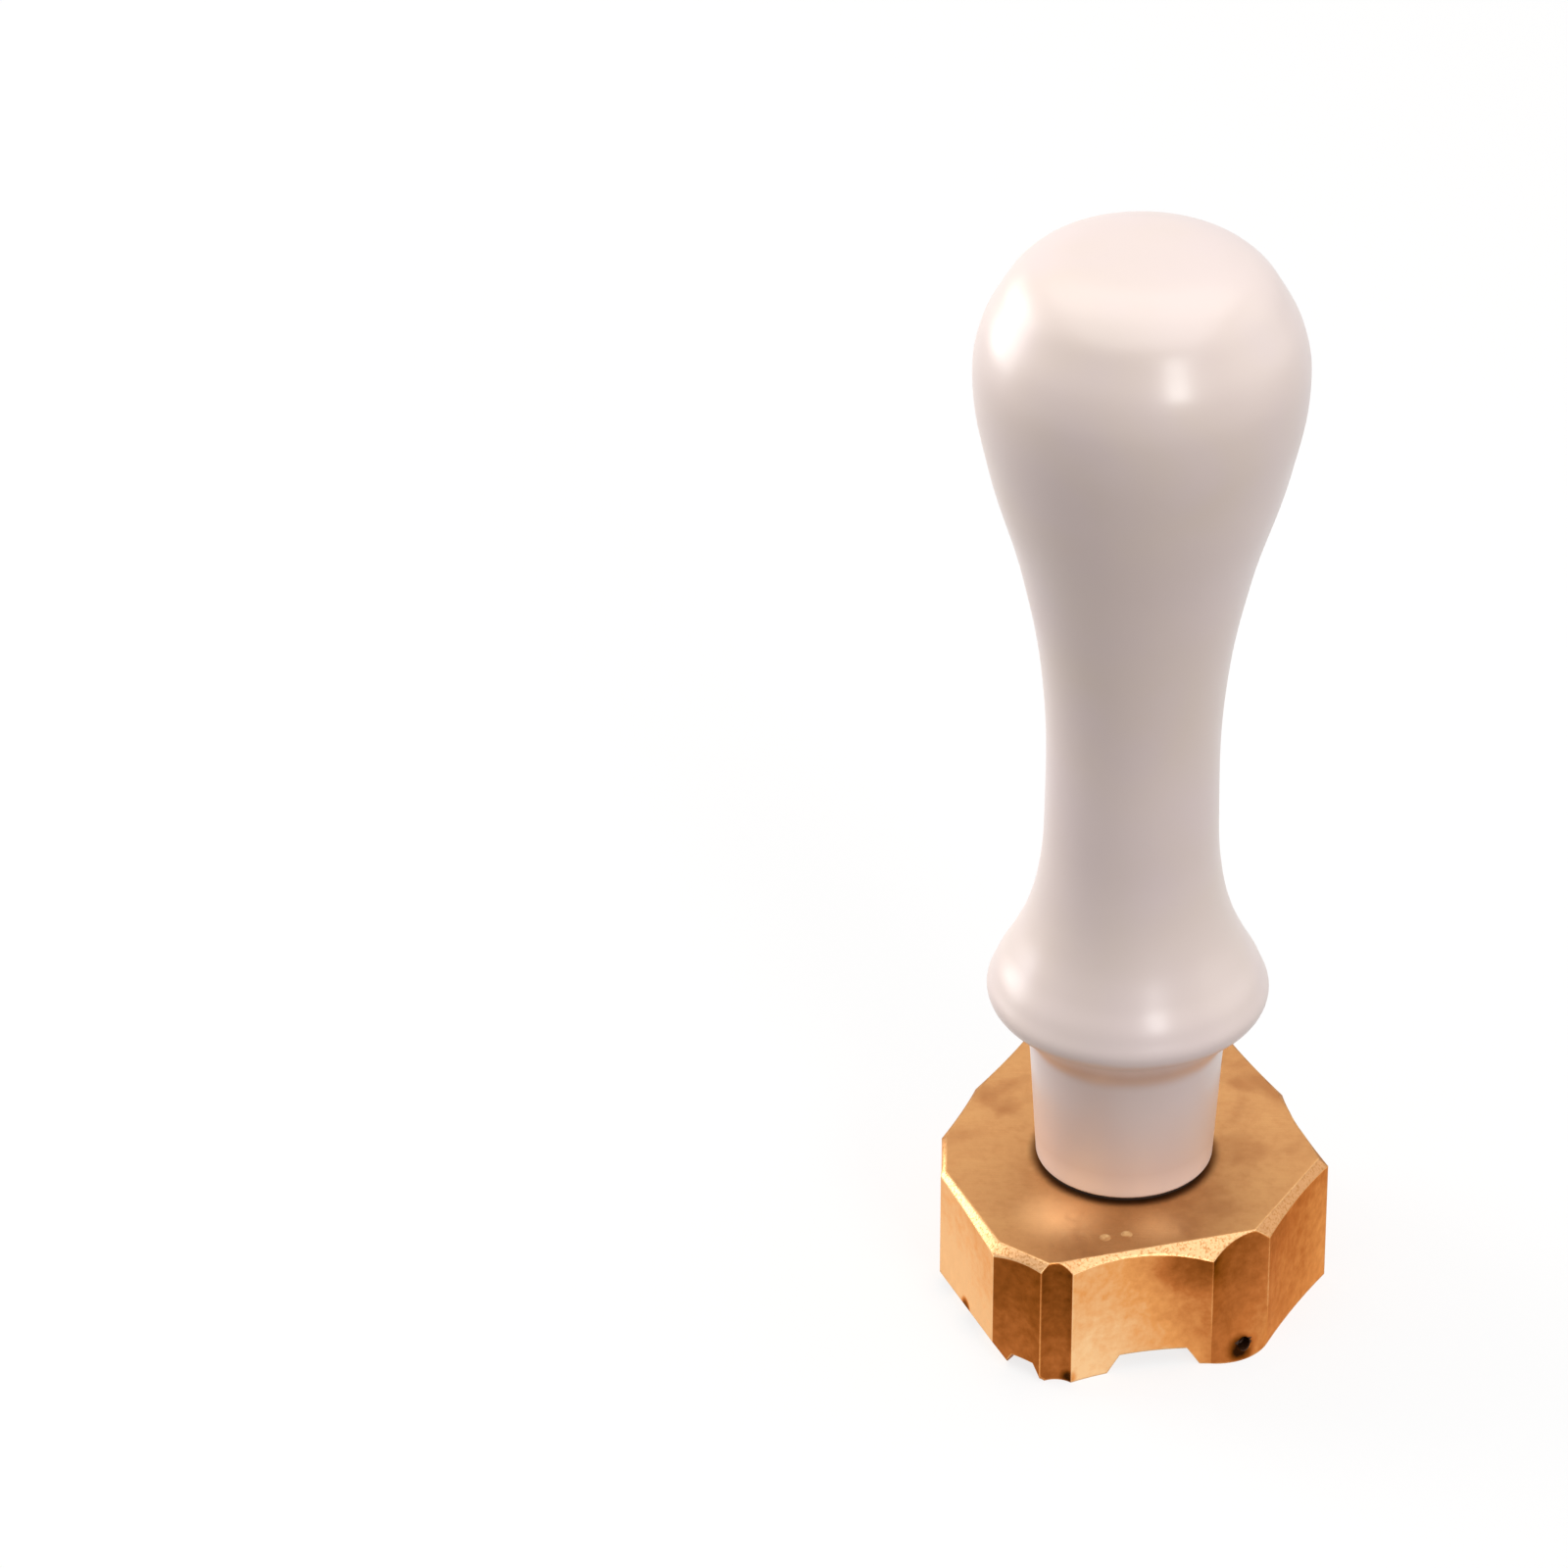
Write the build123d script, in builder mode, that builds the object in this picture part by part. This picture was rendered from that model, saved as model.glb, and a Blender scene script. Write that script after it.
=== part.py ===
from build123d import *
import os
from math import cos, radians, sin, tan

# A hand stamp for marking clay: a machined brass die with a raised design under it, and a turned
# wooden handle that screws onto the middle of the die's back. Sizes are in millimetres.
# The origin is on the handle's axis, level with the tips of the raised design, which are what
# the stamp stands on. +Z runs up the handle. -Y is the side of the die with the deep scallop.

# Die block
die_reach = 15.0
block_height = 9.5
bevel_angle = 45.0
tip_lean_angle = 31.0
skirt_height = 4.6
skirt_bulge = 0.8
skirt_sink = 0.05
pit_radius = 0.55
pit_height = 1.2
pit_depth = 1.2
nick_radius = 0.45
nick_depth = 0.12

# Raised design
relief_height = 1.5
relief_draft = 12.0
gap_draft = 32.0
line_width = 0.7
border_width = 1.5
rosette_radius = 8.8
petal_count = 8
petal_root_radius = 3.4
petal_half_width = 1.75
disc_radius = 1.7
ring_dot_radius = 0.45
dot_ring_radius = 10.7
dot_count = 24
vein_width = 0.5
vein_length = 2.2

# M6 machine thread between the stud and the die
thread_pitch = 1.0
thread_radius = 3.0
thread_depth_share = 0.6134
thread_crest_share = 0.125
thread_flank_angle = 30.0
thread_engagement = 6.0
hole_spare_depth = 1.0
thread_flank_gap = 0.06
thread_tip_gap = 0.07
thread_root_gap = 0.1
thread_sink = 0.05
lead_in = 0.6

# Stud shank, and the wood thread that holds it in the handle
shank_radius = 2.45
shank_length = 3.0
wood_thread_pitch = 2.4
wood_thread_radius = 3.05
wood_thread_depth = 0.85
wood_thread_crest_width = 0.12
wood_thread_length = 16.0
stud_point_length = 2.6
pilot_gap = 0.05

# Washer
washer_thickness = 0.3
washer_radius = 6.6
washer_bore_radius = 3.3

# Turned handle, heights above its own foot
foot_radius = 6.85
foot_round = 0.3
collar_top_radius = 7.45
collar_height = 9.6
bead_radius = 10.8
bead_height = 15.2
waist_radius = 6.64
waist_height = 31.9
knob_radius = 12.54
knob_height = 69.7
handle_height = 80.3
mouth_chamfer = 0.8
pilot_spare_depth = 1.0

# One overrun for every cut and joined form
overrun = 0.4

# Outline of the die's wall: corners as shares of its reach, anticlockwise seen from above
wall_corner_shares = (
    (-0.943, -0.222),
    (-0.654, -0.885),
    (-0.407, -1.040),
    (-0.245, -1.033),
    (0.473, -0.837),
    (0.760, -0.652),
    (1.060, -0.020),
    (0.822, 0.590),
    (0.553, 1.080),
    (-0.525, 1.072),
    (-0.785, 0.575),
    (-0.948, 0.115),
)

# How far each wall, from its corner to the next, is hollowed, as a share of the reach
wall_hollow_shares = (0.003, 0.012, 0.030, 0.047, 0.032, 0.013, 0.042, 0.026, 0.050, 0.028, 0.016, 0.006)

# Corners of the flat top inside the bevel, as shares of the reach
top_corner_shares = (
    (-0.918, -0.215),
    (-0.630, -0.831),
    (-0.355, -1.020),
    (-0.221, -0.968),
    (0.683, -0.671),
    (1.010, -0.020),
    (0.795, 0.579),
    (0.530, 1.052),
    (-0.508, 1.046),
    (-0.756, 0.568),
    (-0.922, 0.112),
)

# Limits of the design's tips in plan, as shares of the reach: inside the wall on the -X side,
# where the outer face of the border leans inwards, and clear of it all round the rest
tip_limit_shares = (
    (-0.890, -0.195),
    (-0.527, -0.960),
    (-0.430, -1.200),
    (0.600, -1.200),
    (1.300, -0.020),
    (1.000, 0.900),
    (0.600, 1.300),
    (-0.600, 1.300),
    (-0.890, 0.500),
)

# How many walls come before the one with the skirt, and where along it the skirt stands out most
# and has its pit, as shares of that wall
walls_before_skirt_count = 4
skirt_nose_share = 0.60
pit_share = 0.53

# Two dents in the die's back, as shares of the reach
nick_place_shares = ((-0.086, -0.772), (0.024, -0.738))

# Where each gap between the bars of the raised border starts and ends, in degrees about +X
border_gap_degrees = (
    (-174.0, -162.0),
    (-152.0, -138.0),
    (-123.8, -110.5),
    (-93.7, -63.7),
    (3.0, 15.0),
    (28.0, 41.0),
    (52.0, 65.0),
    (76.0, 89.0),
    (100.0, 114.0),
    (128.0, 141.0),
    (155.0, 168.0),
)

# Points of the handle's curves: how far each is on the way from one radius or height to the next
bead_underside_shares = ((0.10, 0.34), (0.46, 0.66))
bead_to_waist_shares = ((0.097, 0.102), (0.394, 0.247), (0.691, 0.416), (0.917, 0.663))
waist_to_knob_shares = ((0.056, 0.299), (0.342, 0.553), (0.805, 0.810))
knob_top_shares = ((0.032, 0.314), (0.137, 0.590), (0.265, 0.803), (0.440, 0.924))

os.makedirs("parts", exist_ok=True)

# Heights that several pieces share
die_top = relief_height + block_height
foot_height = die_top + washer_thickness
stud_end_height = die_top - thread_engagement
hole_floor_height = stud_end_height - hole_spare_depth
thread_start_height = hole_floor_height - thread_pitch
shank_top_height = foot_height + shank_length
stud_point_height = shank_top_height + wood_thread_length
stud_top_height = stud_point_height + stud_point_length
handle_top_height = foot_height + handle_height
pilot_radius = shank_radius + pilot_gap
on_tips = (Align.CENTER, Align.CENTER, Align.MIN)


def between(start, end, share):
    """The value that lies a share of the way from start to end."""
    return start + (end - start) * share


def curve_points(start, end, shares):
    """Radius and height pairs on the way from one radius and height to another."""
    return [(between(start[0], end[0], across), between(start[1], end[1], along)) for across, along in shares]


def at_reach(share):
    """A place on the die in plan, from its share of the reach."""
    return Vector(share[0] * die_reach, share[1] * die_reach)


def at_angle(radius, degrees):
    """A place in plan at a radius and an angle from +X."""
    return Vector(radius * cos(radians(degrees)), radius * sin(radians(degrees)))


def screw_ridge(pitch, root_radius, crest_radius, crest_width, start_height, length):
    """A right-hand helical ridge of even section, for a screw's thread or for cutting one."""
    flank_rise = (crest_radius - root_radius) * tan(radians(thread_flank_angle))
    with BuildPart() as ridge:
        with BuildLine():
            Helix(pitch, length, root_radius, center=(0, 0, start_height))
        with BuildSketch(Plane.XZ):
            with BuildLine():
                Polyline(
                    (root_radius, start_height - crest_width / 2 - flank_rise),
                    (crest_radius, start_height - crest_width / 2),
                    (crest_radius, start_height + crest_width / 2),
                    (root_radius, start_height + crest_width / 2 + flank_rise),
                    close=True,
                )
            make_face()
        sweep(is_frenet=True)
    return ridge.part


def turned(outline):
    """The solid that a closed outline of radius and height pairs makes, turned about the axis."""
    with BuildPart() as turning:
        with BuildSketch(Plane.XZ):
            with BuildLine():
                Polyline(*outline, close=True)
            make_face()
        revolve(axis=Axis.Z)
    return turning.part


# The wall's outline, each side a line or a shallow hollow arc
with BuildSketch() as wall_outline:
    with BuildLine():
        for number, hollow_share in enumerate(wall_hollow_shares):
            start = at_reach(wall_corner_shares[number])
            end = at_reach(wall_corner_shares[(number + 1) % len(wall_corner_shares)])
            inward = (end - start).normalized().rotate(Axis.Z, 90)
            ThreePointArc(start, (start + end) / 2 + inward * hollow_share * die_reach, end)
    make_face()

# The pocket inside the raised border, at the level of the design's tips
with BuildSketch() as pocket_outline:
    offset(wall_outline.sketch, amount=-border_width, kind=Kind.INTERSECTION)

# Wedges that part the border into bars
with BuildSketch() as border_gaps:
    for first, last in border_gap_degrees:
        with BuildLine():
            Polyline((0, 0), at_angle(2 * die_reach, first), at_angle(2 * die_reach, last), close=True)
        make_face()

# One petal of the rosette: two bowed lines that meet at its root and tip, and a vein between them
raised_height = relief_height + overrun
raised_run = raised_height * tan(radians(relief_draft))
petal_root = at_angle(petal_root_radius, 0)
petal_tip = at_angle(rosette_radius, 0)
petal_bow = at_angle(petal_half_width, 90)
with BuildPart() as petal_side:
    for height, width in ((0, line_width), (raised_height, line_width + 2 * raised_run)):
        with BuildSketch(Plane.XY.offset(height)):
            bowed_line = ThreePointArc(
                petal_root, (petal_root + petal_tip) / 2 + petal_bow, petal_tip, mode=Mode.PRIVATE
            )
            SlotArc(bowed_line, width)
    loft(ruled=True)
with BuildPart() as petal_vein:
    for height, width in ((0, vein_width), (raised_height, vein_width + 2 * raised_run)):
        with BuildSketch(Plane.XY.offset(height)):
            with Locations((petal_root + petal_tip) / 2):
                SlotCenterToCenter(vein_length, width)
    loft(ruled=True)
with BuildPart() as petal:
    add(petal_side.part)
    mirror(about=Plane.XZ)
    add(petal_vein.part)

# The skirt that flares from the foot of the wall that faces +X and -Y, and the pit in it
skirt_start = at_reach(wall_corner_shares[walls_before_skirt_count])
skirt_end = at_reach(wall_corner_shares[walls_before_skirt_count + 1])
skirt_inward = (skirt_end - skirt_start).normalized().rotate(Axis.Z, 90)
skirt_nose = between(skirt_start, skirt_end, skirt_nose_share) - skirt_inward * skirt_bulge
skirt_back = between(skirt_start, skirt_end, skirt_nose_share) + skirt_inward * border_width
wall_hollow = wall_hollow_shares[walls_before_skirt_count] * die_reach
skirt_crest = (skirt_start + skirt_end) / 2 + skirt_inward * (wall_hollow + skirt_sink)
with BuildPart() as skirt:
    for height, crossing in ((0, skirt_nose), (skirt_height, skirt_crest)):
        with BuildSketch(Plane.XY.offset(height)):
            with BuildLine():
                Polyline(skirt_end, skirt_back, skirt_start)
                ThreePointArc(skirt_start, crossing, skirt_end)
            make_face()
    loft(ruled=True)
pit_mouth = between(skirt_start, skirt_end, pit_share) - skirt_inward * skirt_bulge + (0, 0, pit_height)

# The tapped hole's groove: the stud's thread with a gap all round, from the same starting height
thread_crest_width = thread_pitch * thread_crest_share
thread_root_radius = thread_radius - thread_pitch * thread_depth_share
hole_root_radius = thread_root_radius + thread_root_gap
hole_groove = screw_ridge(
    thread_pitch,
    hole_root_radius - thread_sink,
    thread_radius + thread_tip_gap,
    thread_crest_width + 2 * thread_flank_gap,
    thread_start_height,
    die_top - thread_start_height + thread_pitch,
)
hole_core = turned(
    (
        (0, hole_floor_height),
        (hole_root_radius, hole_floor_height),
        (hole_root_radius, die_top + overrun),
        (0, die_top + overrun),
    )
)
hole_limit = turned(
    (
        (0, hole_floor_height),
        (thread_radius + overrun, hole_floor_height),
        (thread_radius + overrun, die_top + overrun),
        (0, die_top + overrun),
    )
)

with BuildPart() as tapped_hole:
    add(hole_core)
    add(hole_groove & hole_limit)

# Die: block, raised design, bevel round the top, skirt with its pit, dents and tapped hole
with BuildPart() as die:
    with BuildSketch():
        add(wall_outline.sketch)
    extrude(amount=die_top)
    with BuildSketch():
        add(pocket_outline.sketch)
    extrude(amount=relief_height, taper=relief_draft, mode=Mode.SUBTRACT)
    with BuildSketch():
        add(border_gaps.sketch)
    extrude(amount=relief_height, taper=gap_draft, mode=Mode.SUBTRACT)
    with PolarLocations(0, petal_count, start_angle=180 / petal_count):
        add(petal.part)
    Cone(disc_radius, disc_radius + raised_run, raised_height, align=on_tips)
    with PolarLocations(dot_ring_radius, dot_count, start_angle=180 / dot_count):
        Cone(ring_dot_radius, ring_dot_radius + raised_run, raised_height, align=on_tips)
    with BuildSketch(Plane.XY.offset(die_top)):
        with BuildLine():
            Polyline(*[at_reach(share) for share in top_corner_shares], close=True)
        make_face()
    extrude(amount=-die_top, taper=-bevel_angle, mode=Mode.INTERSECT)
    add(skirt.part)
    with BuildSketch(Plane(origin=pit_mouth, z_dir=skirt_inward)):
        Circle(pit_radius)
    extrude(amount=pit_depth, mode=Mode.SUBTRACT)
    with BuildSketch():
        with BuildLine():
            Polyline(*[at_reach(share) for share in tip_limit_shares], close=True)
        make_face()
    extrude(amount=die_top, taper=-tip_lean_angle, mode=Mode.INTERSECT)
    for place in nick_place_shares:
        with Locations(at_reach(place) + (0, 0, die_top)):
            Cone(0, nick_radius, nick_depth, align=(Align.CENTER, Align.CENTER, Align.MAX), mode=Mode.SUBTRACT)
    add(tapped_hole.part, mode=Mode.SUBTRACT)
die.part.label = "die"
export_step(die.part, "parts/die.step")

# Washer under the handle's foot, loose round the stud
with BuildPart() as washer:
    with BuildSketch(Plane.XY.offset(die_top)):
        Circle(washer_radius)
        Circle(washer_bore_radius, mode=Mode.SUBTRACT)
    extrude(amount=washer_thickness)
washer.part.label = "washer"
export_step(washer.part, "parts/washer.step")

# Stud: machine thread down into the die, plain shank, wood thread up into the handle
wood_root_radius = wood_thread_radius - wood_thread_depth
machine_ridge = screw_ridge(
    thread_pitch,
    thread_root_radius - thread_sink,
    thread_radius,
    thread_crest_width,
    thread_start_height,
    foot_height - thread_start_height + thread_pitch,
)
machine_limit = turned(
    (
        (0, stud_end_height),
        (thread_root_radius - lead_in / 2, stud_end_height),
        (thread_radius + overrun, stud_end_height + lead_in + overrun),
        (thread_radius + overrun, foot_height),
        (0, foot_height),
    )
)
wood_ridge = screw_ridge(
    wood_thread_pitch,
    wood_root_radius - thread_sink,
    wood_thread_radius,
    wood_thread_crest_width,
    shank_top_height - wood_thread_pitch,
    wood_thread_length + wood_thread_pitch,
)
wood_limit = turned(
    (
        (0, shank_top_height),
        (shank_radius, shank_top_height),
        (wood_thread_radius + overrun, shank_top_height + wood_thread_pitch),
        (wood_thread_radius + overrun, stud_point_height - wood_thread_pitch),
        (wood_root_radius, stud_point_height),
        (0, stud_point_height),
    )
)
with BuildPart() as stud:
    add(
        turned(
            (
                (0, stud_end_height),
                (thread_root_radius - lead_in / 2, stud_end_height),
                (thread_root_radius, stud_end_height + lead_in / 2),
                (thread_root_radius, foot_height),
                (shank_radius, foot_height),
                (shank_radius, shank_top_height),
                (wood_root_radius, shank_top_height + shank_radius - wood_root_radius),
                (wood_root_radius, stud_point_height),
                (0, stud_top_height),
            )
        )
    )
    add(machine_ridge & machine_limit)
    add(wood_ridge & wood_limit)
stud.part.label = "stud"
export_step(stud.part, "parts/stud.step")

# Handle: a conical foot, then four curved stretches over it, all turned, and a bore for the stud
collar_foot = (foot_radius, foot_height)
collar_top = (collar_top_radius, foot_height + collar_height)
bead_girth = (bead_radius, foot_height + bead_height)
waist_girth = (waist_radius, foot_height + waist_height)
knob_girth = (knob_radius, foot_height + knob_height)
crown = (0, handle_top_height)
upright = (0, 1)
inward = (-1, 0)
curved_stretches = (
    (collar_top, bead_girth, bead_underside_shares, upright),
    (bead_girth, waist_girth, bead_to_waist_shares, upright),
    (waist_girth, knob_girth, waist_to_knob_shares, upright),
    (knob_girth, crown, knob_top_shares, inward),
)
with BuildPart() as handle:
    with BuildSketch(Plane.XZ):
        with BuildLine():
            Polyline((0, foot_height), collar_foot, collar_top, (0, collar_top[1]), close=True)
        make_face()
    revolve(axis=Axis.Z)
    for start, end, shares, end_direction in curved_stretches:
        with BuildSketch(Plane.XZ):
            with BuildLine():
                Spline(start, *curve_points(start, end, shares), end, tangents=(upright, end_direction))
                if end != crown:
                    Line(end, (0, end[1]))
                Polyline((0, end[1]), (0, start[1]), start)
            make_face()
        revolve(axis=Axis.Z)
    fillet(handle.edges().group_by(Axis.Z)[0], foot_round)
    with BuildSketch(Plane.XY.offset(foot_height)):
        Circle(pilot_radius)
    extrude(amount=stud_top_height + pilot_spare_depth - foot_height, mode=Mode.SUBTRACT)
    with Locations((0, 0, foot_height)):
        Cone(
            pilot_radius + mouth_chamfer,
            pilot_radius - overrun,
            mouth_chamfer + overrun,
            align=on_tips,
            mode=Mode.SUBTRACT,
        )
handle.part.label = "handle"
export_step(handle.part, "parts/handle.step")

for piece in (die, washer, stud, handle):
    print(piece.part.label, "volume", round(piece.part.volume, 1), "solids", len(piece.part.solids()))
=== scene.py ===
from math import atan2, degrees, radians

import bmesh
import bpy
from mathutils import Euler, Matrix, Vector


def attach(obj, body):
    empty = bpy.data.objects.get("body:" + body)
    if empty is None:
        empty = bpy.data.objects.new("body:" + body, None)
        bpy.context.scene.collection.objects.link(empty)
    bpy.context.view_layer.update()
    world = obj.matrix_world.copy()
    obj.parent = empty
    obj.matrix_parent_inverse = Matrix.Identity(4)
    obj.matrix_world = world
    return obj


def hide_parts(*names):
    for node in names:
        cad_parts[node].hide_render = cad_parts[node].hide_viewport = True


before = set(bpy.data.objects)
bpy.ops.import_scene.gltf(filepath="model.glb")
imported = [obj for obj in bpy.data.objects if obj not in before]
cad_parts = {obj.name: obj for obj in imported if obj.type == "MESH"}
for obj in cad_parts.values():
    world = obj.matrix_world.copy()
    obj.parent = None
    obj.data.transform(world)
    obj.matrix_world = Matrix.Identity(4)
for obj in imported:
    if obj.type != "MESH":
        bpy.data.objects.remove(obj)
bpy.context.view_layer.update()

scene = bpy.context.scene
mm = 0.001  # every size below is in millimetres, and Blender works in metres


# Small helpers

def paint(hexColour):
    # sRGB hex to the linear colour that a shader socket wants
    parts = [int(hexColour[i:i + 2], 16) / 255 for i in (1, 3, 5)]
    return tuple(p / 12.92 if p <= 0.04045 else ((p + 0.055) / 1.055) ** 2.4 for p in parts) + (1.0,)


def addNode(tree, kind, inputs=None, **settings):
    # one node: its settings, then its inputs by name or number as values, sockets or whole nodes
    node = tree.nodes.new(kind)
    for name, value in settings.items():
        setattr(node, name, value)
    for name, value in (inputs or {}).items():
        if isinstance(value, bpy.types.Node):
            value = value.outputs[0]
        if isinstance(value, bpy.types.NodeSocket):
            tree.links.new(value, node.inputs[name])
        else:
            node.inputs[name].default_value = value
    return node


def newMaterial(name):
    material = bpy.data.materials.new(name)
    material.use_nodes = True
    tree = material.node_tree
    tree.nodes.clear()
    coordinates = addNode(tree, "ShaderNodeTexCoord")
    # 1 unit = 1 mm from here on, so that a pattern's scale is one over a real size
    place = addNode(tree, "ShaderNodeMapping", {
        "Vector": coordinates.outputs["Object"], "Scale": (1 / mm,) * 3})
    return material, tree, coordinates.outputs["Normal"], place


def finishPiece(shape, name, materials, body, replaced):
    # bmesh to an object that rides on its body and stands for its CAD node
    mesh = bpy.data.meshes.new(name)
    shape.to_mesh(mesh)
    shape.free()
    for material in materials:
        mesh.materials.append(material)
    piece = bpy.data.objects.new(name, mesh)
    scene.collection.objects.link(piece)
    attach(piece, body)
    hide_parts(replaced)
    return piece


def softenShading(shape, angle):
    # smooth faces, with edges sharper than the angle kept crisp
    for face in shape.faces:
        face.smooth = True
    for edge in shape.edges:
        edge.smooth = edge.is_manifold and edge.calc_face_angle(0.0) < radians(angle)


# Camera: the photograph's viewing angle

cameraView = {
    "lens": 224.0,                      # mm, on the default 36 mm sensor
    "clipStart": 10.0,
    "place": (0.0, -622.56, 446.92),    # mm from the tips under the handle's axis
    "pitch": 32.867,                    # degrees below level
    "swing": 2.434,                     # degrees to the left
}


def makeCamera(view):
    data = bpy.data.cameras.new("photoCamera")
    data.lens = view["lens"]
    data.clip_start = view["clipStart"] * mm
    camera = bpy.data.objects.new("photoCamera", data)
    camera.location = Vector(view["place"]) * mm
    camera.rotation_euler = Euler((radians(90 - view["pitch"]), 0, radians(view["swing"])))
    scene.collection.objects.link(camera)
    scene.camera = camera


makeCamera(cameraView)
print("camera placed")


# Handle: turned wood under white lacquer, unpainted in its bore

handleShape = {
    "foot": 11.3,                  # height of the foot above the tips
    "footRadius": 6.85,
    "footRound": 0.3,
    "collarTop": (7.45, 9.6),      # radius, and height above the foot
    # turner's template above the collar: radius, and height above the foot
    "template": (
        (7.79, 11.5), (8.99, 13.3), (10.8, 15.2), (10.4, 16.9), (9.16, 19.3), (7.93, 22.15), (6.98, 26.3),
        (6.64, 31.9), (6.97, 43.2), (8.66, 52.8), (11.39, 62.5), (12.54, 69.7), (12.14, 73.0), (10.82, 75.95),
        (9.22, 78.2), (7.0, 79.52), (3.6, 80.15), (0.0, 80.3),
    ),
    "boreRadius": 2.5,
    "boreDepth": 22.6,
    "boreMouth": 0.8,
    "boreMargin": 0.02,            # faces this little outside the bore still count as in it
    "steps": 160,                  # round the axis
    "pointsPerSpan": 8,
    "mergeDistance": 0.002,
    "sharpAngle": 40.0,            # degrees, over which an edge stays crisp
}


def profilePoints(values):
    # a Bezier curve through the template, as a turner would draw it, in metres
    curve = bpy.data.curves.new("template", "CURVE")
    curve.dimensions = "3D"
    curve.resolution_u = values["pointsPerSpan"]
    spline = curve.splines.new("BEZIER")
    knots = [values["collarTop"]] + list(values["template"])
    spline.bezier_points.add(len(knots) - 1)
    for point, (radius, height) in zip(spline.bezier_points, knots):
        point.co = (radius * mm, 0, (height + values["foot"]) * mm)
        point.handle_left_type = point.handle_right_type = "AUTO"
    template = bpy.data.objects.new("template", curve)
    scene.collection.objects.link(template)
    bpy.context.view_layer.update()
    drawn = bpy.data.meshes.new_from_object(template)
    points = [vertex.co.copy() for vertex in drawn.vertices]
    bpy.data.objects.remove(template)
    bpy.data.curves.remove(curve)
    bpy.data.meshes.remove(drawn)
    points[-1].x = 0
    return points


def makeHandle(values, lacquer, bareWood):
    foot = values["foot"] * mm
    corner = values["footRadius"] * mm
    bore = values["boreRadius"] * mm
    mouth = values["boreMouth"] * mm
    boreTop = foot + values["boreDepth"] * mm
    outside = [Vector((corner, 0, foot))] + profilePoints(values)
    inside = [
        Vector((0, 0, boreTop)), Vector((bore, 0, boreTop)),
        Vector((bore, 0, foot + mouth)), Vector((bore + mouth, 0, foot)),
    ]
    shape = bmesh.new()
    vertices = [shape.verts.new(point) for point in inside + outside]
    for pair in zip(vertices, vertices[1:]):
        shape.edges.new(pair)
    footCorner = vertices[len(inside)]
    bmesh.ops.bevel(
        shape, geom=[footCorner], offset=values["footRound"] * mm, segments=4, profile=0.5,
        affect="VERTICES", material=-1)
    bmesh.ops.spin(
        shape, geom=shape.verts[:] + shape.edges[:], cent=(0, 0, 0), axis=(0, 0, 1), angle=radians(360),
        steps=values["steps"], use_merge=True)
    bmesh.ops.remove_doubles(shape, verts=shape.verts, dist=values["mergeDistance"] * mm)
    bmesh.ops.recalc_face_normals(shape, faces=shape.faces)
    softenShading(shape, values["sharpAngle"])
    margin = values["boreMargin"] * mm
    for face in shape.faces:
        isLow = face.calc_center_median().z < boreTop + margin
        if isLow and max(vertex.co.xy.length for vertex in face.verts) < bore + mouth + margin:
            face.material_index = 1
    return finishPiece(shape, "turnedHandle", [lacquer, bareWood], "handle_body", "handle")


# Finish: white nitrocellulose lacquer, sprayed on turned beech and rubbed back.
# It gives the eye a warm white body, soft-edged highlights and a very slight orange peel.

lacquerLook = {
    "white": "#EDDCD8",
    "warmer": "#E9D8CE",
    "pinker": "#EAD9D8",
    "pinkShare": 0.6,           # how far the pinker places go
    "cloudSize": 16.0,          # slow colour drift, mm
    "beadShade": "#C79C80",      # painted shade under the bead, warmed by light off the brass
    "beadShadeHeight": 23.2,       # mm above the tips
    "beadShadeBand": 1.6,
    "beadShadeShare": 0.4,
    "rim": "#FFF4F2",           # painted light: paler towards the foot, for light thrown back by the floor and the brass
    "rimHeights": (13.6, 11.4),
    "peelSize": 1.8,            # orange peel, real about 1 mm, drawn coarser so it shows
    "ringSize": 1.1,            # turning rings under the lacquer, mm
    "ringShare": 0.3,           # how deep they are beside the peel
    "relief": 0.06,
    "reliefDepth": 0.05,
    "roughness": 0.34,
    "roughnessSpread": (-0.03, 0.05),
    "coat": 0.2,
    "coatRoughness": 0.22,
    "index": 1.5,
}


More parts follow.
